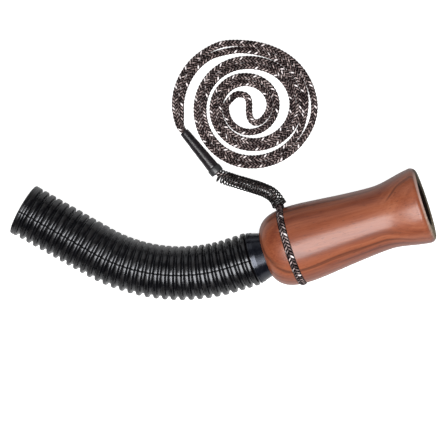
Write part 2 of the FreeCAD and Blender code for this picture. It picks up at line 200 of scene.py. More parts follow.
def even_path(points, step):
    """Smooth curve through points, read at even steps of length."""
    points = np.asarray(points, float)
    knots = np.concatenate([[0], np.cumsum(np.linalg.norm(np.diff(points, axis=0), axis=1))])
    fine = cubic(knots, points, np.linspace(0, knots[-1], len(points) * 40))
    length = np.concatenate([[0], np.cumsum(np.linalg.norm(np.diff(fine, axis=0), axis=1))])
    count = max(4, int(round(length[-1] / step)))
    at = np.linspace(0, length[-1], count + 1)
    return np.stack([np.interp(at, length, fine[:, i]) for i in range(3)], axis=1)


def tangents(path):
    return unit(np.gradient(path, axis=0))


def make_mesh(name, verts, faces):
    """Smooth-shaded mesh object from vertices in millimetres and faces of one size."""
    mesh = bpy.data.meshes.new(name)
    verts = np.asarray(verts, float) * MM
    faces = np.asarray(faces)
    mesh.vertices.add(len(verts))
    mesh.vertices.foreach_set("co", verts.ravel())
    side = faces.shape[1]
    mesh.loops.add(len(faces) * side)
    mesh.loops.foreach_set("vertex_index", faces.ravel())
    mesh.polygons.add(len(faces))
    mesh.polygons.foreach_set("loop_start", np.arange(0, len(faces) * side, side))
    mesh.polygons.foreach_set("loop_total", np.full(len(faces), side))
    mesh.update(calc_edges=True)
    mesh.validate()
    mesh.polygons.foreach_set("use_smooth", np.full(len(mesh.polygons), True))
    obj = bpy.data.objects.new(name, mesh)
    bpy.context.scene.collection.objects.link(obj)
    return obj


def grid_faces(rows, columns, first=0, wrap_rows=False):
    """Quads of a rows x columns grid whose columns wrap round."""
    r = np.arange(rows if wrap_rows else rows - 1)
    c = np.arange(columns)
    r, c = np.meshgrid(r, c, indexing="ij")
    r2 = (r + 1) % rows
    c2 = (c + 1) % columns
    quads = np.stack([r * columns + c, r2 * columns + c, r2 * columns + c2, r * columns + c2], axis=-1)
    return first + quads.reshape(-1, 4)


def add_attribute(obj, name, values):
    data = obj.data.attributes.new(name, "FLOAT", "POINT")
    data.data.foreach_set("value", np.asarray(values, np.float32))


def closed_ring_solid(name, sections):
    """Solid whose closed cross-section loops are joined all round: sections is (around, loop, 3)."""
    around, loop, _ = sections.shape
    return make_mesh(name, sections.reshape(-1, 3), grid_faces(around, loop, wrap_rows=True)[:, ::-1])


# ------------------------------------------------------------------ materials
class Nodes:
    """Short way to write a node material."""

    def __init__(self, name):
        self.material = bpy.data.materials.new(name)
        self.material.use_nodes = True
        self.tree = self.material.node_tree
        self.tree.nodes.clear()
        self.out = self.add("ShaderNodeOutputMaterial")
        self.bsdf = self.add("ShaderNodeBsdfPrincipled")
        self.link(self.bsdf.outputs["BSDF"], self.out.inputs["Surface"])
        self.coords = self.add("ShaderNodeTexCoord").outputs["Object"]

    def add(self, kind, **settings):
        node = self.tree.nodes.new(kind)
        for key, value in settings.items():
            setattr(node, key, value)
        return node

    def link(self, a, b):
        self.tree.links.new(a, b)

    def feed(self, socket, value):
        if hasattr(value, "is_linked"):
            self.link(value, socket)
        else:
            socket.default_value = value

    def mapped(self, scale=(1, 1, 1), location=(0, 0, 0), rotation=(0, 0, 0), source=None):
        node = self.add("ShaderNodeMapping")
        self.link(source or self.coords, node.inputs["Vector"])
        node.inputs["Scale"].default_value = scale
        node.inputs["Location"].default_value = location
        node.inputs["Rotation"].default_value = rotation
        return node.outputs["Vector"]

    def noise(self, vector, scale, detail=4.0, rough=0.5):
        node = self.add("ShaderNodeTexNoise")
        self.link(vector, node.inputs["Vector"])
        node.inputs["Scale"].default_value = scale
        node.inputs["Detail"].default_value = detail
        node.inputs["Roughness"].default_value = rough
        return node.outputs["Fac"]

    def math(self, operation, a, b=0.0, c=0.0):
        node = self.add("ShaderNodeMath", operation=operation)
        for i, value in enumerate((a, b, c)):
            self.feed(node.inputs[i], value)
        return node.outputs[0]

    def ramp(self, fac, stops):
        node = self.add("ShaderNodeValToRGB")
        self.link(fac, node.inputs["Fac"])
        elements = node.color_ramp.elements
        while len(elements) < len(stops):
            elements.new(0.5)
        for element, (place, colour) in zip(elements, stops):
            element.position = place
            element.color = (*colour, 1) if len(colour) == 3 else colour
        return node.outputs["Color"]

    def span(self, fac, low, high, to_low=0.0, to_high=1.0):
        node = self.add("ShaderNodeMapRange", clamp=True)
        self.link(fac, node.inputs["Value"])
        for key, value in (("From Min", low), ("From Max", high), ("To Min", to_low), ("To Max", to_high)):
            node.inputs[key].default_value = value
        return node.outputs["Result"]

    def mix(self, fac, a, b, mode="MIX"):
        node = self.add("ShaderNodeMix", data_type="RGBA", blend_type=mode)
        self.feed(node.inputs["Factor"], fac)
        for socket, value in ((node.inputs[6], a), (node.inputs[7], b)):
            self.feed(socket, (*value, 1) if isinstance(value, tuple) and len(value) == 3 else value)
        return node.outputs[2]

    def bump(self, height, strength, distance_mm):
        node = self.add("ShaderNodeBump")
        self.link(height, node.inputs["Height"])
        node.inputs["Strength"].default_value = strength
        node.inputs["Distance"].default_value = distance_mm * MM
        return node.outputs["Normal"]

    def attribute(self, name):
        return self.add("ShaderNodeAttribute", attribute_name=name).outputs["Fac"]

    def set(self, **values):
        for key, value in values.items():
            socket = self.bsdf.inputs[key.replace("_", " ")]
            self.feed(socket, (*value, 1) if isinstance(value, tuple) and len(value) == 3 else value)
        return self.material


def wood_material():
    """Lacquered reddish hardwood: flat-sawn layers, a few dark streaks, fine fibres and open pores."""
    n = Nodes("lacquered_wood")
    wander = n.add("ShaderNodeTexNoise")
    n.link(n.mapped((14, 32, 32)), wander.inputs["Vector"])
    wander.inputs["Scale"].default_value = 1.0
    wander.inputs["Detail"].default_value = 3.0
    drift = n.add("ShaderNodeVectorMath", operation="MULTIPLY_ADD")
    n.link(wander.outputs["Color"], drift.inputs[0])
    drift.inputs[1].default_value = (0.0, 0.006, 0.008)
    n.link(n.coords, drift.inputs[2])
    bent = n.mapped(rotation=(0.16, -0.09, 0.05), source=drift.outputs["Vector"])
    wide = n.noise(n.mapped((7, 26, 190), source=bent), 1.0, 3.0, 0.5)
    band = n.noise(n.mapped((10, 90, 520), (0.4, 0.1, 0.7), source=bent), 1.0, 4.0, 0.6)
    fine = n.noise(n.mapped((55, 1500, 1700), source=bent), 1.0, 4.0, 0.6)
    tone = n.math("MULTIPLY_ADD", band, 0.28, n.math("MULTIPLY", fine, 0.26))
    tone = n.math("MULTIPLY_ADD", wide, 0.50, tone)
    colour = n.ramp(
        tone,
        [
            (0.40, (0.100, 0.0200, 0.0085)),
            (0.48, (0.152, 0.0375, 0.0150)),
            (0.54, (0.184, 0.0490, 0.0205)),
            (0.63, (0.220, 0.0680, 0.0310)),
        ],
    )
    layer = n.noise(n.mapped((6, 30, 330), (0.3, 0.12, 0.02), source=bent), 1.0, 2.0, 0.5)
    streak = n.span(n.math("MULTIPLY_ADD", fine, 0.10, layer), 0.60, 0.68)
    colour = n.mix(n.math("MULTIPLY", streak, 0.60), colour, (0.026, 0.006, 0.004))
    pore = n.span(n.noise(n.mapped((260, 2600, 2600), (0.1, 0.2, 0.0)), 1.0, 1.0, 0.4), 0.67, 0.74)
    colour = n.mix(n.math("MULTIPLY", pore, 0.60), colour, (0.035, 0.010, 0.006))
    # end grain on the dished mouth; its pale olive-grey tone is partly the wood's end grain, partly painted
    # reflection
    geometry = n.add("ShaderNodeNewGeometry")
    normal = n.add("ShaderNodeSeparateXYZ")
    n.link(geometry.outputs["Normal"], normal.inputs[0])
    place = n.add("ShaderNodeSeparateXYZ")
    n.link(n.coords, place.inputs[0])
    facing = n.span(normal.outputs[0], 0.55, 0.9)
    mouth = n.math("MULTIPLY", facing, n.span(place.outputs[0], -0.004, -0.001))
    speckle = n.noise(n.mapped((500, 900, 900)), 1.0, 4.0, 0.65)
    end_colour = n.ramp(
        speckle,
        [(0.35, (0.10, 0.078, 0.055)), (0.55, (0.29, 0.235, 0.165)), (0.75, (0.56, 0.48, 0.37))],
    )
    # painted shade: the mouth's face darkens towards +y and is fully lit towards -y
    face_shade = n.span(place.outputs[1], 0.006, -0.013, 0.35, 1.0)
    end_colour = n.mix(face_shade, (0.014, 0.011, 0.008), end_colour)
    colour = n.mix(mouth, colour, end_colour)
    squares = [n.math("MULTIPLY", place.outputs[k], place.outputs[k]) for k in (1, 2)]
    off_axis = n.math("SQRT", n.math("ADD", squares[0], squares[1]))
    # painted highlight on the upper lip's rim
    lip_highlight = n.math("MULTIPLY", n.span(off_axis, *LIP_HIGHLIGHT_BAND), n.span(place.outputs[2], 0.004, 0.010))
    lip_highlight = n.math("MULTIPLY", lip_highlight, n.span(place.outputs[1], -0.013, 0.002, 0.25, 1.0))
    colour = n.mix(n.math("MULTIPLY", mouth, lip_highlight), colour, (0.56, 0.37, 0.32))
    # painted shade darkening the bore
    bore = n.span(off_axis, *BORE_SHADE)
    colour = n.mix(bore, colour, (0.010, 0.005, 0.004))
    relief = n.math("SUBTRACT", n.math("MULTIPLY", fine, 0.25), pore)
    n.link(n.bump(relief, 0.35, 0.05), n.bsdf.inputs["Normal"])
    dull = n.math("MAXIMUM", mouth, bore)
    rough = n.math("ADD", n.span(fine, 0.3, 0.7, 0.42, 0.55), n.math("MULTIPLY", dull, 0.4))
    gloss = n.math("MULTIPLY_ADD", dull, -0.22, 0.25)
    coat = n.math("MULTIPLY_ADD", dull, -0.39, 0.39)
    return n.set(
        Base_Color=colour,
        Roughness=rough,
        Specular_IOR_Level=gloss,
        Coat_Weight=coat,
        Coat_Roughness=0.22,
    )


def plastic_material(name, base, rough, scuff=0.5, tint=(1.0, 1.0, 1.0)):
    """Moulded black plastic with faint dusty mottling and fine scuffs."""
    n = Nodes(name)
    mottle = n.noise(n.mapped((350, 350, 350)), 1.0, 4.0, 0.6)
    fine = n.noise(n.mapped((2600, 2600, 2600)), 1.0, 2.0, 0.5)
    lines = n.noise(n.mapped((180, 2200, 900), rotation=(0.2, 0.1, 0.7)), 1.0, 3.0, 0.6)
    scratch = n.span(lines, 0.62, 0.72)
    dust = tuple(c * 2.0 + 0.002 for c in base)
    colour = n.mix(n.span(mottle, 0.35, 0.75), base, dust)
    colour = n.mix(n.math("MULTIPLY", scratch, 0.25 * scuff), colour, (0.09, 0.085, 0.08))
    r = n.span(mottle, 0.3, 0.7, rough - 0.05, rough + 0.07)
    r = n.math("ADD", r, n.math("MULTIPLY", scratch, 0.2 * scuff))
    n.link(n.bump(fine, 0.25, 0.02), n.bsdf.inputs["Normal"])
    return n.set(Base_Color=colour, Roughness=r, Specular_IOR_Level=0.5, Specular_Tint=tint)


def hose_material():
    """Black hose plastic with a painted sheen on its crests and painted shade along the mould lines."""
    n = Nodes("hose_plastic")
    height = n.attribute("crest")
    mottle = n.noise(n.mapped((260, 260, 260)), 1.0, 4.0, 0.6)
    fine = n.noise(n.mapped((2400, 2400, 2400)), 1.0, 2.0, 0.5)
    colour = n.mix(n.span(mottle, 0.35, 0.7), (0.0015, 0.0015, 0.0021), (0.0034, 0.0032, 0.0040))
    # painted reflection: crests lightened to brownish grey in patches, and made a little rougher
    crest_sheen = n.math("MULTIPLY", n.span(height, 0.75, 1.0), n.span(mottle, 0.4, 0.65))
    colour = n.mix(n.math("MULTIPLY", crest_sheen, 0.20), colour, (0.020, 0.017, 0.014))
    # painted shade in the mould-line grooves
    colour = n.mix(n.math("MULTIPLY", n.attribute("seam"), 0.85), colour, (0.0008, 0.0008, 0.0010))
    rough = n.math("ADD", n.span(mottle, 0.3, 0.7, 0.20, 0.30), n.math("MULTIPLY", crest_sheen, 0.06))
    n.link(n.bump(fine, 0.3, 0.02), n.bsdf.inputs["Normal"])
    gloss = n.math("MULTIPLY_ADD", n.attribute("seam"), -0.45, 0.55)
    return n.set(
        Base_Color=colour,
        Roughness=rough,
        Specular_IOR_Level=gloss,
        Specular_Tint=(0.93, 0.95, 1.0),
    )


def cord_material():
    """Braided plastic yarn: tone per float, painted shade where the yarn dives and on its flanks, a painted
    highlight along its top, fine filaments along it.
    """
    n = Nodes("braided_cord")
    tone = n.attribute("tone")
    lift = n.attribute("lift")
    along = n.attribute("filament")
    colour = n.ramp(
        tone,
        [
            (0.0, (0.022, 0.011, 0.012)),
            (0.30, (0.085, 0.055, 0.055)),
            (0.60, (0.330, 0.245, 0.235)),
            (0.80, (0.66, 0.54, 0.52)),
            (0.92, (1.0, 0.90, 0.90)),
        ],
    )
    # painted light and shade: each float lit along its top ridge, dark towards its ends and flanks
    lit = n.math("MULTIPLY", n.math("POWER", lift, 0.9), n.math("POWER", n.attribute("ridge"), 1.6))
    shade = n.math("MAXIMUM", lit, 0.004)
    mixer = n.mix(1.0, colour, n.ramp(shade, [(0.0, (0, 0, 0)), (1.0, (1, 1, 1))]), "MULTIPLY")
    stripes = n.math("SINE", n.math("MULTIPLY", along, 31.0))
    fluff = n.noise(n.mapped((3000, 3000, 3000)), 1.0, 3.0, 0.6)
    height = n.math("MULTIPLY_ADD", stripes, 0.5, fluff)
    n.link(n.bump(height, 0.6, 0.05), n.bsdf.inputs["Normal"])
    return n.set(
        Base_Color=mixer,
        Roughness=n.span(fluff, 0.3, 0.7, 0.40, 0.60),
        Specular_IOR_Level=n.math("MULTIPLY", shade, 0.5),
    )


def core_material():
    """Dark filling that shows between the yarns; its near-black colour is partly the filling's own and partly
    painted shade in the gaps.
    """
    n = Nodes("cord_core")
    fluff = n.noise(n.mapped((2500, 2500, 2500)), 1.0, 3.0, 0.6)
    colour = n.ramp(fluff, [(0.3, (0.002, 0.0014, 0.0014)), (0.7, (0.007, 0.005, 0.0045))])
    n.link(n.bump(fluff, 0.5, 0.05), n.bsdf.inputs["Normal"])
    return n.set(Base_Color=colour, Roughness=0.8, Specular_IOR_Level=0.1)


def wire_material():
    """Black-coated wire with a few paler patches."""
    n = Nodes("spring_wire")
    patch = n.noise(n.mapped((900, 900, 900)), 1.0, 4.0, 0.6)
    colour = n.ramp(
        patch,
        [(0.3, (0.003, 0.003, 0.003)), (0.62, (0.008, 0.007, 0.007)), (0.8, (0.03, 0.026, 0.022))],
    )
    rough = n.span(patch, 0.3, 0.7, 0.22, 0.4)
    n.link(n.bump(patch, 0.2, 0.02), n.bsdf.inputs["Normal"])
    return n.set(Base_Color=colour, Roughness=rough, Metallic=0.35, Specular_IOR_Level=0.6)


def rubber_material():
    n = Nodes("seal_rubber")
    fine = n.noise(n.mapped((1800, 1800, 1800)), 1.0, 4.0, 0.6)
    colour = n.ramp(fine, [(0.3, (0.008, 0.008, 0.008)), (0.75, (0.030, 0.029, 0.028))])
    n.link(n.bump(fine, 0.3, 0.03), n.bsdf.inputs["Normal"])
    return n.set(Base_Color=colour, Roughness=n.span(fine, 0.3, 0.7, 0.55, 0.75))


def cork_material():
    n = Nodes("cork")
    cells = n.add("ShaderNodeTexVoronoi", feature="F1")
    n.link(n.mapped((1400, 1400, 1400)), cells.inputs["Vector"])
    cells.inputs["Scale"].default_value = 1.0
    patch = n.noise(n.mapped((500, 700, 500)), 1.0, 4.0, 0.65)
    colour = n.ramp(
        patch,
        [(0.3, (0.10, 0.045, 0.020)), (0.5, (0.42, 0.25, 0.13)), (0.75, (0.56, 0.37, 0.21))],
    )
    edge = n.span(cells.outputs["Distance"], 0.2, 0.8)
    colour = n.mix(n.math("MULTIPLY", edge, 0.4), colour, (0.16, 0.08, 0.04))
    n.link(n.bump(n.math("SUBTRACT", patch, edge), 0.5, 0.12), n.bsdf.inputs["Normal"])
    return n.set(Base_Color=colour, Roughness=0.8)


def reed_material():
    n = Nodes("reed_film")
    haze = n.noise(n.mapped((120, 900, 120)), 1.0, 4.0, 0.6)
    colour = n.ramp(haze, [(0.3, (0.70, 0.71, 0.66)), (0.7, (0.86, 0.86, 0.82))])
    n.link(n.bump(haze, 0.15, 0.02), n.bsdf.inputs["Normal"])
    return n.set(Base_Color=colour, Roughness=n.span(haze, 0.3, 0.7, 0.22, 0.4), Transmission_Weight=0.35)


# ------------------------------------------------------------------ hose
def hose_centre(s):
    """Places and headings along the hose's centreline, s measured from the cuff's start."""
    curve_r = SEGMENT / (2 * math.tan(CURVE / 2))
    start = CUFF_LENGTH - SEGMENT / 2
    turn = np.clip((s - start) / curve_r, 0, CURVE * CURVED_JOINTS)
    straight = np.minimum(s, start)
    beyond = np.maximum(s - start - curve_r * CURVE * CURVED_JOINTS, 0)
    angle = math.pi - turn
    x = CUFF_START_X - straight - curve_r * np.sin(turn) + beyond * np.cos(angle)
    y = curve_r * (1 - np.cos(turn)) + beyond * np.sin(angle)
    return np.stack([x, y, np.zeros_like(x)], axis=-1), angle


def rib_radius(u, bias):
    """Outer radius along the hose: broad flat crests, and valleys that narrow as the bias grows."""
    low = np.tanh(RIB_FLATNESS * (bias - 1))
    high = np.tanh(RIB_FLATNESS * (bias + 1))
    shape = np.tanh(RIB_FLATNESS * (bias - np.cos(2 * math.pi * u / PITCH)))
    return VALLEY_R + (CREST_R - VALLEY_R) * (shape - low) / (high - low)


def lip_radius(s):
    """Outer radius of the open end's lip, with a fine groove behind it and a rounded outer edge."""
    groove = LIP_GROOVE_DEPTH * np.exp(-(((s - LIP_START - 0.5) / 0.15) ** 2))
    d = np.clip(s - (HOSE_LENGTH - LIP_ROUNDING), 0, LIP_ROUNDING)
    edge = LIP_ROUNDING - np.sqrt(LIP_ROUNDING**2 - d**2)
    return CREST_R - groove - edge


def hose_angles():
    """Places round the hose, closer together at the two mould lines."""
    plain = np.arange(HOSE_SIDES) * 2 * math.pi / HOSE_SIDES
    line = []
    for middle in SEAM_ANGLES:
        line += [middle + d / CREST_R for d in (-0.42, -0.2, -0.07, 0.07, 0.2, 0.42)]
    keep = [a for a in plain if min(abs(a - b) for b in line) > 0.02]
    return np.array(sorted(keep + line))


def hose_piece(name, s_from, s_to):
    """Closed thick-walled length of corrugated hose."""
    count = max(6, int(round((s_to - s_from) / PITCH * RINGS_PER_RIB)))
    s = np.linspace(s_from, s_to, count + 1)
    angles = hose_angles()
    seam = np.zeros_like(angles)
    for middle in SEAM_ANGLES:
        off = (angles - middle) * CREST_R
        seam = np.maximum(seam, np.exp(-((off / SEAM_WIDTH) ** 2)))
    # two profiles, out along the outside and back along the inside; valleys close up inside the bend
    a = angles[:, None]
    bias = RIB_BIAS - 0.30 * np.cos(a) * smoothstep((s[None] - 12) / 30)
    bend = smoothstep((s[None] - 18) / 20) * (1 - smoothstep((s[None] - 80) / 18))
    closed = INNER_CLOSING * smoothstep(-np.cos(a)) * bend
    ribs = CREST_R - (CREST_R - rib_radius(s[None], bias)) * (1 - closed)
    ribs = np.where(s < LIP_START, ribs, CREST_R)
    outer = np.where(s < LIP_START, ribs, lip_radius(s)[None])
    inner = ribs - HOSE_WALL
    s_loop = np.concatenate([s, s[::-1]])
    r_loop = np.concatenate([outer, inner[:, ::-1]], axis=1)
    outside = np.concatenate([np.ones(len(s)), np.zeros(len(s))])
    centre, angle = hose_centre(s_loop)
    left = np.stack([-np.sin(angle), np.cos(angle), np.zeros_like(angle)], axis=-1)
    wobble = 0.05 * np.sin(s_loop * 0.37)[None] * np.sin(3 * a)
    line = seam[:, None] * outside[None]
    r = r_loop + wobble - SEAM_DEPTH * line
    verts = centre[None] + r[:, :, None] * (np.cos(a)[:, :, None] * left[None] + np.sin(a)[:, :, None] * Z)
    obj = closed_ring_solid(name, verts)
    crest = (r_loop - VALLEY_R) / (CREST_R - VALLEY_R) * outside[None]
    add_attribute(obj, "crest", crest.ravel())
    add_attribute(obj, "seam", line.ravel())
    edges = obj.data.attributes.new("sharp_edge", "BOOLEAN", "EDGE")
    loop = len(s_loop)
    flags = np.zeros(len(obj.data.edges), bool)
    ends = np.zeros(len(obj.data.edges) * 2, int)
    obj.data.edges.foreach_get("vertices", ends)
    ends = ends.reshape(-1, 2) % loop
    for corner in (0, len(s) - 1, len(s), loop - 1):
        flags |= (ends[:, 0] == corner) & (ends[:, 1] == corner)
    edges.data.foreach_set("value", flags)
    obj.data.materials.append(HOSE)
    return obj


def build_hose():
    """Cuff, one length across each joint, and the open end."""
    middles = [CUFF_LENGTH + SEGMENT * (k - 0.5) for k in range(JOINTS + 1)]
    cuff = hose_piece("hose_cuff_wall", 0.0, middles[0])
    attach(cuff, "hose_00")
    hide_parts("hose_cuff")
    for k in range(JOINTS):
        piece = hose_piece(f"hose_wall_{k + 1:02d}", middles[k], middles[k + 1])
        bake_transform(piece)
        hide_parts(f"hose_segment_{k + 1:02d}" if k < JOINTS - 1 else "hose_end")
    end = hose_piece("hose_open_end", middles[JOINTS], HOSE_LENGTH)
    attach(end, "hose_13")
    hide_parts("hose_end")


# ------------------------------------------------------------------ cord
def sleeve_point(reach):
    return SLEEVE_START + heading(SLEEVE_HEADING) * reach


def coil_line(step):
    """Centreline of the coil, from the noose's mouth down to the sleeve on the ground."""
    places = [
        SWING + np.array([0, 0.6, -0.1]),
        (-66.9, 24.6, -1.3),
        (-70.6, 29.2, -4.4),
        (-76.4, 33.3, -8.6),
        (-82.8, 37.6, -12.6),
        (-88.3, 41.6, -15.0),
        sleeve_point(0),
        sleeve_point(3),
    ]
    return even_path(places, step)


def catmull(values, position):
    """Smooth value between evenly spaced ones."""
    i = max(0, min(len(values) - 2, math.floor(position)))
    t = position - i
    a, b, c, d = (values[max(0, min(len(values) - 1, i + k))] for k in (-1, 0, 1, 2))
    return b + 0.5 * t * (c - a + t * (2 * a - 5 * b + 4 * c - d + t * (3 * (b - c) + d - a)))


def neck_strand(side):
    """Places along one strand of the spiral; it starts on top of or under its twin and rolls beside it."""
    half = STRAND_SPACING / 2
    radii = SPIRAL_RADII + [r - half for r in OUTER_STRAND_RADII] if side > 0 else SPIRAL_RADII
    last = len(radii) - (1.06 if side > 0 else 1.0)
    first = -0.12
    count = round((last - first) * 7)
    points = []
    for i in range(count + 1):
        q = first + (last - first) * i / count
        t = min(1.0, (q + 0.25) / 0.75)
        lean = math.radians(90) * t * (2 - t)
        gape = 1.4 * math.exp(-(((q - 2.09) / 0.20) ** 2)) + 0.9 * math.exp(-(((q - 0.76) / 0.11) ** 2))
        bulge = 1.5 * math.exp(-(((q - 0.6) / 0.42) ** 2))
        radius = catmull(radii, q) + bulge + side * (half * math.sin(lean) + gape / 2)
        raised = STRAND_SPACING * math.cos(lean) if side > 0 else 0
        place = SPIRAL_CENTRE + heading(SPIRAL_FIRST_ANGLE - 90 * q) * radius
        points.append(place + Z * (STRAND_Z + raised))
    return points


def neck_lead(side):
    """The short way from the sleeve's far end to the spiral."""
    raised = STRAND_SPACING if side > 0 else 0
    points = []
    for reach in (0.3, 1.3):
        p = sleeve_point(SLEEVE_LENGTH + LEG_EXIT + reach)
        points.append(np.array([p[0], p[1], STRAND_Z + raised]))
    return points


def leg_points(sign):
    """A strand from the sleeve's middle back to the noose's mouth."""
    line = coil_line(0.5)
    direction = tangents(line)
    side = unit(np.cross(direction, Z))
    up = np.cross(side, direction)
    usable = len(line) - 6
    picks = [int(usable * i / 22) for i in range(22)]
    points = []
    for i in picks:
        nearest_end = (min(i, usable - i) * 0.5 - 1.5) / 8.0
        roll = math.pi / 2 * smoothstep(nearest_end)
        points.append(line[i] + (up[i] * math.cos(roll) + side[i] * math.sin(roll)) * sign * STACK)
    points += [sleeve_point(r) + Z * sign * STACK for r in (0, 1.5, 4, 8, STRAND_JOIN)]
    return points[::-1]


def sleeve_tail(sign):
    """The same strand from the sleeve's middle out to the neck cord."""
    return [sleeve_point(r) + Z * sign * STACK for r in (STRAND_JOIN, 20, SLEEVE_LENGTH - 1.5)]


def noose_points():
    """Upper end, round the barrel's far side, lower end."""
    leave = math.radians(20)
    level = NOOSE_CORD_R + 0.05
    points = [(SWING[1] - NOOSE_GAP, level), (SWING[1] - 1.6, level + 0.35)]
    count = 36
    for i in range(count + 1):
        a = leave + (2 * math.pi - 2 * leave) * i / count
        points.append((NOOSE_R * math.cos(a), NOOSE_R * math.sin(a)))
    points += [(SWING[1] - 1.6, -level - 0.35), (SWING[1] - NOOSE_GAP, -level)]
    return [np.array([NOOSE_X, y, z]) for y, z in points]


def cord_loop():
    """The whole closed cord from the sleeve's middle: upper leg, noose, lower leg, neck spiral and back."""
    own_x = heading(SPIRAL_FIRST_ANGLE - 180)
    own_y = heading(SPIRAL_FIRST_ANGLE - 90)
    bight = [SPIRAL_CENTRE + own_x * x + own_y * y + Z * STRAND_Z for x, y in BIGHT]
    outer = neck_lead(1) + neck_strand(1)
    inner = neck_lead(-1) + neck_strand(-1)
    points = leg_points(1) + noose_points() + leg_points(-1)[::-1] + sleeve_tail(-1)[1:]
    points += inner + bight[::-1] + outer[::-1] + sleeve_tail(1)[::-1]
    return even_path(points, CORD_STEP)


def cord_radius(path):
    """Half width of the cord along its length: full when free, squeezed in the coil and the sleeve."""
    along = heading(SLEEVE_HEADING)
    reach = (path - SLEEVE_START) @ along
    across = np.linalg.norm((path - SLEEVE_START)[:, :2] - reach[:, None] * along[None, :2], axis=1)
    past_sleeve = smoothstep((reach - SLEEVE_LENGTH + 0.5) / 3.0)
    in_neck = np.where((across < 2.5) & (reach < SLEEVE_LENGTH + 12), past_sleeve, 1.0)
    squeezed = SQUEEZED_R + (CORD_R - SQUEEZED_R) * in_neck
    line = coil_line(1.0)
    gap = np.min(np.linalg.norm(path[:, None, :] - line[None], axis=2), axis=1)
    inside = 1 - smoothstep((gap - 1.9) / 0.6)
    radius = squeezed * (1 - inside) + SQUEEZED_R * inside
    at_noose = np.exp(-(((path[:, 0] - NOOSE_X) / 0.3) ** 2)) * (path[:, 1] < SWING[1])
    return radius * (1 - at_noose) + NOOSE_CORD_R * at_noose


def braid_arrays(path, flip_after):
    """Yarn cross-sections of the whole cord: (yarns, rings, sides, 3), with their tone and lift.

    The sideways direction changes hands halfway round the noose, at flip_after, and is then smoothed.
    """
    rings = len(path)
    direction = tangents(path)
    side = unit(np.cross(direction, Z))
    side[flip_after:] *= -1
    in_noose = np.abs(path[:, 0] - NOOSE_X) < 0.4
    in_noose &= path[:, 1] < SWING[1]
    side[in_noose] = (-1.0, 0.0, 0.0)
    for _ in range(6):
        side[1:-1] = side[:-2] + side[1:-1] + side[2:]
        side = side - np.sum(side * direction, axis=1, keepdims=True) * direction
        side = unit(side)
    up = np.cross(side, direction)
    u = np.arange(rings) * CORD_STEP
    radius = cord_radius(path)
    squash = radius / CORD_R
    at_mouth = np.linalg.norm(path - SWING, axis=1) < MOUTH_SHADE_REACH
    sections, tones, lifts, filaments = [], [], [], []
    for turn in (1, -1):
        for i in range(YARNS):
            crossing = 2 * i + turn * 2 * YARNS * u / BRAID_PITCH
            centre = 0.5 if turn > 0 else 2.5
            wave = np.cos(2 * math.pi * (crossing - centre) / 4)
            over = np.tanh(1.5 * wave) / math.tanh(1.5)
            theta = turn * 2 * math.pi * u / BRAID_PITCH + 2 * math.pi * i / YARNS + BRAID_TURN
            jitter = 0.025 * np.sin(u * 0.9 + i * 2.1 + turn)
            r = radius - YARN_DEPTH + (YARN_LIFT + jitter) * over
            radial = side * np.cos(theta)[:, None] + up * np.sin(theta)[:, None]
            middle = path + radial * r[:, None]
            yarn = tangents(middle)
            radial = unit(radial - np.sum(radial * yarn, axis=1, keepdims=True) * yarn)
            width = np.cross(yarn, radial)
            broad = TRACER_HALF_WIDTH if (turn, i) == TRACER else YARN_HALF_WIDTH
            ring = []
            for k in range(YARN_SIDES):
                a = 2 * math.pi * (k + 0.5) / YARN_SIDES
                w = broad * math.cos(a) * squash
                t = YARN_HALF_THICKNESS * math.sin(a) * squash
                ring.append(middle + width * w[:, None] + radial * t[:, None])
            sections.append(np.stack(ring, axis=1))
            float_number = np.floor((crossing - centre) / 4 + 0.5).astype(int)
            base = np.clip(rng.normal(0.41, 0.20, FLOAT_COUNT), 0, 0.78)
            share_pale = 0.85 if (turn, i) == TRACER else 0.012
            is_pale = rng.random(FLOAT_COUNT) < share_pale
            base = np.where(is_pale, rng.uniform(0.88, 1.0, FLOAT_COUNT), base)
            index = (float_number - float_number.min()) % FLOAT_COUNT
            tones.append(np.repeat(np.where(at_mouth, MOUTH_TONE, base[index]), YARN_SIDES))
            # lift: painted shade, darkening each float towards where it dives under
            lifts.append(np.repeat(np.clip(wave, 0, 1), YARN_SIDES))
            filaments.append(np.tile(np.linspace(0, 1, YARN_SIDES, endpoint=False), rings))
    shape = (2 * YARNS, rings, YARN_SIDES)
    marks = {"tone": tones, "lift": lifts, "filament": filaments}
    marks = {key: np.stack(values).reshape(shape) for key, values in marks.items()}
    marks["ridge"] = np.broadcast_to(np.array(YARN_RIDGE), shape)
    return np.stack(sections), marks, side, up, radius


def cord_piece(name, data, path, first, last):
    """Braid between two ring numbers, with its core, as one mesh."""
    sections, marks, side, up, radius = data
    cut = slice(first, last + 1)
    rows = last + 1 - first
    verts, faces = [], []
    offset = 0
    for yarn in sections:
        verts.append(yarn[cut].reshape(-1, 3))
        faces.append(grid_faces(rows, YARN_SIDES, offset)[:, ::-1])
        offset += rows * YARN_SIDES
    a = 2 * math.pi * np.arange(CORE_SIDES) / CORE_SIDES
    core_r = (radius[cut] - CORE_DEPTH)[:, None, None]
    around = side[cut][:, None] * np.cos(a)[None, :, None] + up[cut][:, None] * np.sin(a)[None, :, None]
    verts.append((path[cut][:, None] + around * core_r).reshape(-1, 3))
    yarn_faces = sum(len(f) for f in faces)
    faces.append(grid_faces(rows, CORE_SIDES, offset))
    obj = make_mesh(name, np.concatenate(verts), np.concatenate(faces))
    for mark, values in marks.items():
        add_attribute(obj, mark, np.concatenate([values[:, cut].ravel(), np.zeros(rows * CORE_SIDES)]))
    obj.data.materials.append(CORD)
    obj.data.materials.append(CORE)
    is_core = np.arange(len(obj.data.polygons)) >= yarn_faces
    obj.data.polygons.foreach_set("material_index", is_core.astype(int))
    return obj


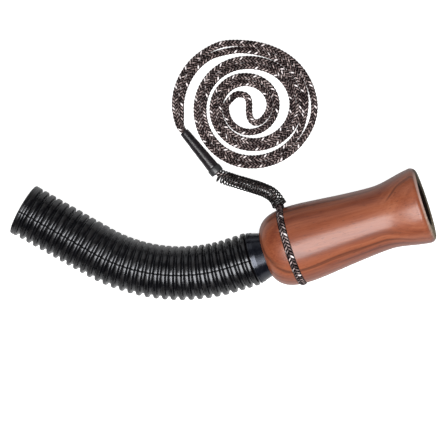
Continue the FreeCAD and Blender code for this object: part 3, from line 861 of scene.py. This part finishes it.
def build_cord():
    """The braid cut into lengths: noose, its two ends, two legs and the neck spiral."""
    path = cord_loop()
    on_noose = np.where((np.abs(path[:, 0] - NOOSE_X) < 0.35) & (path[:, 1] < SWING[1] - 0.45))[0]
    noose_first, noose_last = on_noose[0], on_noose[-1]
    mouth = int(round(3.2 / CORD_STEP))
    up_mouth = noose_first - mouth
    low_mouth = noose_last + mouth
    data = braid_arrays(path, (noose_first + noose_last) // 2)
    total = len(path) - 1

    def riding(name, first, last, body, node):
        piece = cord_piece(name, data, path, first, last)
        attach(piece, body)
        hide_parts(node)

    riding("cord_upper_leg", 0, up_mouth, "lanyard", "leg_cords")
    mouths = (("cord_upper_mouth", up_mouth, noose_first), ("cord_lower_mouth", noose_last, low_mouth))
    for name, first, last in mouths:
        piece = cord_piece(name, data, path, first, last)
        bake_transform(piece)
        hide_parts("noose_cord")
    riding("cord_noose", noose_first, noose_last, "noose", "noose_cord")
    reach = (path - SLEEVE_START) @ heading(SLEEVE_HEADING)
    past = np.where((reach > SLEEVE_LENGTH) & (np.arange(len(path)) > low_mouth))[0][0]
    riding("cord_lower_leg", low_mouth, past, "lanyard", "leg_cords")
    stops = [past + round((total - past) * i / NECK_PIECES) for i in range(NECK_PIECES + 1)]
    for i in range(NECK_PIECES):
        riding(f"cord_neck_{i + 1}", stops[i], stops[i + 1], "lanyard", "neck_cord")


# ------------------------------------------------------------------ spring and sleeve
def build_spring():
    """Open coil of round wire along the coil line, flared at its first turn, with pointed tips."""
    step = 0.25
    line = coil_line(step)
    lead = [line[0] - unit(line[1] - line[0]) * step * k for k in (4, 3, 2, 1)]
    line = np.concatenate([lead, line])
    length = np.arange(len(line)) * step
    direction = tangents(line)
    side = unit(np.cross(direction, Z))
    up = np.cross(side, direction)
    first, last = COIL_FIRST, length[-1] - COIL_LAST
    t = np.linspace(0, 1, COIL_TURNS * COIL_STEPS_PER_TURN + 1)
    turn = t * COIL_TURNS
    spread = turn - 0.52 * np.minimum(turn, CLOSED_TURNS) + 0.15 * np.sin(t * 19)
    spread = (spread - spread[0]) / (spread[-1] - spread[0])
    reach = np.clip(first + (last - first) * spread, first, last)
    sway = 0.15 * np.cos(t * math.pi) - 0.35 * smoothstep((t - 0.55) / 0.35)
    a = 2 * math.pi * COIL_TURNS * t

    def read(values):
        return np.stack([np.interp(reach, length, values[:, i]) for i in range(3)], axis=1)

    c, s, v = read(line), unit(read(side)), unit(read(up))
    r = COIL_R + 0.03 * np.sin(t * 31) + 0.25 * np.exp(-turn / 1.2)
    wire = c + s * (sway + r * np.cos(a))[:, None] + v * (r * np.sin(a))[:, None]
    along = tangents(wire)
    out = unit(wire - c)
    out = unit(out - np.sum(out * along, axis=1, keepdims=True) * along)
    third = np.cross(along, out)
    w = 2 * math.pi * np.arange(WIRE_SIDES) / WIRE_SIDES
    round_wire = out[:, None] * np.cos(w)[None, :, None] + third[:, None] * np.sin(w)[None, :, None]
    verts = (wire[:, None] + WIRE_R * round_wire).reshape(-1, 3)
    tips = (wire[:1] - along[:1] * WIRE_TIP, wire[-1:] + along[-1:] * WIRE_TIP)
    verts = np.concatenate([verts, *tips])
    faces = [tuple(quad) for quad in grid_faces(len(wire), WIRE_SIDES).tolist()]
    n = len(wire) * WIRE_SIDES
    for k in range(WIRE_SIDES):
        k2 = (k + 1) % WIRE_SIDES
        faces.append((n, k2, k))
        faces.append((n + 1, n - WIRE_SIDES + k, n - WIRE_SIDES + k2))
    mesh = bpy.data.meshes.new("spring_coil")
    mesh.from_pydata((verts * MM).tolist(), [], faces)
    mesh.polygons.foreach_set("use_smooth", np.full(len(mesh.polygons), True))
    obj = bpy.data.objects.new("spring_coil", mesh)
    bpy.context.scene.collection.objects.link(obj)
    obj.data.materials.append(WIRE)
    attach(obj, "lanyard")
    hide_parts("tension_spring")


def oval(half_width, half_height, count=40):
    """Stadium outline, taller than wide, as (across, up) pairs."""
    straight = half_height - half_width
    points = []
    for i in range(count):
        a = 2 * math.pi * i / count
        lift = straight if math.sin(a) >= 0 else -straight
        points.append((half_width * math.cos(a), half_width * math.sin(a) + lift))
    return np.array(points)


def oval_tube(name, stations, material):
    """Closed oval tube on the sleeve's axis from (reach, half width, half height) stations round the wall."""
    along = heading(SLEEVE_HEADING)
    across = np.cross(along, Z)
    loops = []
    for reach, w, h in stations:
        outline = oval(w, h)
        loops.append(sleeve_point(reach) + outline[:, :1] * across + outline[:, 1:] * Z)
    grid = np.stack(loops, axis=1)
    obj = closed_ring_solid(name, grid)
    obj.data.materials.append(material)
    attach(obj, "lanyard")
    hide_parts("lanyard_sleeve")


def build_sleeve():
    """Tube shrunk over the two strands: widest at its collar, tapering, with slight waves in its skin."""
    end = SLEEVE_LENGTH
    near, far = np.array([3.0, 3.2]), np.array([2.2, 2.95])
    wall = [(3.40, 2.9, 3.1)]
    steps = 26
    for i in range(steps + 1):
        t = i / steps
        ripple = 0.035 * math.sin(t * 23.0) * math.sin(math.pi * t)
        half_width, half_height = near + (far - near) * t
        wall.append((3.45 + (end - 3.85) * t, half_width + ripple, half_height))
    wall += [
        (end - 0.12, 2.13, 2.88), (end, 1.95, 2.74),
        (end - 0.02, 1.6, 2.72), (end - 0.3, 1.45, 2.72),
    ]
    for i in range(1, 8):
        wall.append((end - 0.3 - (end - 3.7) * i / 8, *SLEEVE_BORE))
    wall.append((3.42, *SLEEVE_BORE))
    oval_tube("sleeve_tube", wall, SLEEVE)
    collar = [
        (0.02, 1.5, 2.72), (0.0, 2.9, 3.0), (0.1, 3.2, 3.3), (0.35, 3.36, 3.45), (0.8, 3.4, 3.5),
        (2.8, 3.4, 3.5), (3.1, 3.36, 3.46), (3.32, 3.22, 3.34), (3.39, 3.02, 3.16), (3.37, 1.5, 2.72),
        (1.5, *SLEEVE_BORE),
    ]
    oval_tube("sleeve_collar", collar, COLLAR)


# ------------------------------------------------------------------ CAD nodes that stay
def dress(node, material):
    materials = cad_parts[node].data.materials
    materials.clear()
    materials.append(material)


# ------------------------------------------------------------------ light, floor and camera
def light(name, place_mm, aim_mm, width_mm, height_mm, power):
    """Rectangular soft light at one place, turned to face another."""
    data = bpy.data.lights.new(name, "AREA")
    data.shape = "RECTANGLE"
    data.size = width_mm * MM
    data.size_y = height_mm * MM
    data.energy = power
    obj = bpy.data.objects.new(name, data)
    place = Vector(place_mm) * MM
    aim = Vector(aim_mm) * MM
    obj.location = place
    obj.rotation_euler = (aim - place).to_track_quat("-Z", "Y").to_euler()
    bpy.context.scene.collection.objects.link(obj)


def build_stage():
    """Pale floor that looks white to the camera but throws little light, and a dim white surround."""
    corners = [(x * FLOOR_HALF, y * FLOOR_HALF, GROUND) for x, y in ((-1, -1), (1, -1), (1, 1), (-1, 1))]
    floor = make_mesh("floor", corners, [(0, 1, 2, 3)])
    n = Nodes("pale_floor")
    grain = n.noise(n.mapped((40, 40, 40)), 1.0, 3.0, 0.5)
    seen = n.add("ShaderNodeLightPath").outputs["Is Camera Ray"]
    floor.data.materials.append(
        n.set(
            Base_Color=n.ramp(grain, [(0.3, (0.44, 0.44, 0.44)), (0.7, (0.46, 0.46, 0.46))]),
            Roughness=0.9,
            Specular_IOR_Level=0.1,
            Emission_Color=(1.0, 1.0, 1.0),
            Emission_Strength=n.math("MULTIPLY", seen, 0.88),
        )
    )
    world = bpy.data.worlds.new("studio")
    world.use_nodes = True
    background = world.node_tree.nodes["Background"]
    background.inputs["Color"].default_value = (1, 1, 1, 1)
    background.inputs["Strength"].default_value = 0.05
    bpy.context.scene.world = world


def build_camera():
    """Long lens almost straight above the part."""
    data = bpy.data.cameras.new("camera")
    data.sensor_width = SENSOR
    data.lens = SENSOR * VIEW_DISTANCE / VIEW_WIDTH
    data.clip_end = 20
    camera = bpy.data.objects.new("camera", data)
    back = Vector(VIEW_FROM)
    x = Vector(VIEW_UP).cross(back).normalized()
    y = back.cross(x)
    matrix = camera.matrix_world.copy()
    for i in range(3):
        matrix[i][0], matrix[i][1], matrix[i][2] = x[i], y[i], back[i]
        matrix[i][3] = (VIEW_CENTRE[i] + VIEW_FROM[i] * VIEW_DISTANCE) * MM
    camera.matrix_world = matrix
    bpy.context.scene.collection.objects.link(camera)
    bpy.context.scene.camera = camera


HOSE = hose_material()
CORD = cord_material()
CORE = core_material()
WIRE = wire_material()
SLEEVE = plastic_material("sleeve_plastic", (0.0060, 0.0048, 0.0058), 0.24, 0.5)
COLLAR = plastic_material("collar_plastic", (0.014, 0.014, 0.015), 0.34, 0.4)
INSERT = plastic_material("insert_plastic", (0.0016, 0.0018, 0.0032), 0.20, 0.2, (0.80, 0.85, 1.0))
BOARD = plastic_material("board_plastic", (0.016, 0.016, 0.018), 0.32, 0.2)

build_hose()
build_cord()
build_spring()
build_sleeve()

dress("barrel", wood_material())
dress("insert_body", INSERT)
dress("tone_board", BOARD)
rubber = rubber_material()
for node in ("front_seal_ring", "rear_seal_ring", "tuning_ring"):
    dress(node, rubber)
reed = reed_material()
dress("reed_root", reed)
dress("reed_tongue", reed)
dress("reed_wedge", cork_material())

build_stage()
build_camera()
overhead = VIEW_CENTRE + 700 * unit(VIEW_FROM - VIEW_UP * 0.32)
light("overhead", overhead, VIEW_CENTRE, 560, 600, 12.5)
beside = VIEW_CENTRE + 900 * unit(VIEW_FROM * 0.6 + VIEW_UP - VIEW_RIGHT * 0.4)
light("side_fill", beside, VIEW_CENTRE, 700, 500, 0.9)

scene = bpy.context.scene
scene.view_settings.view_transform = "Standard"
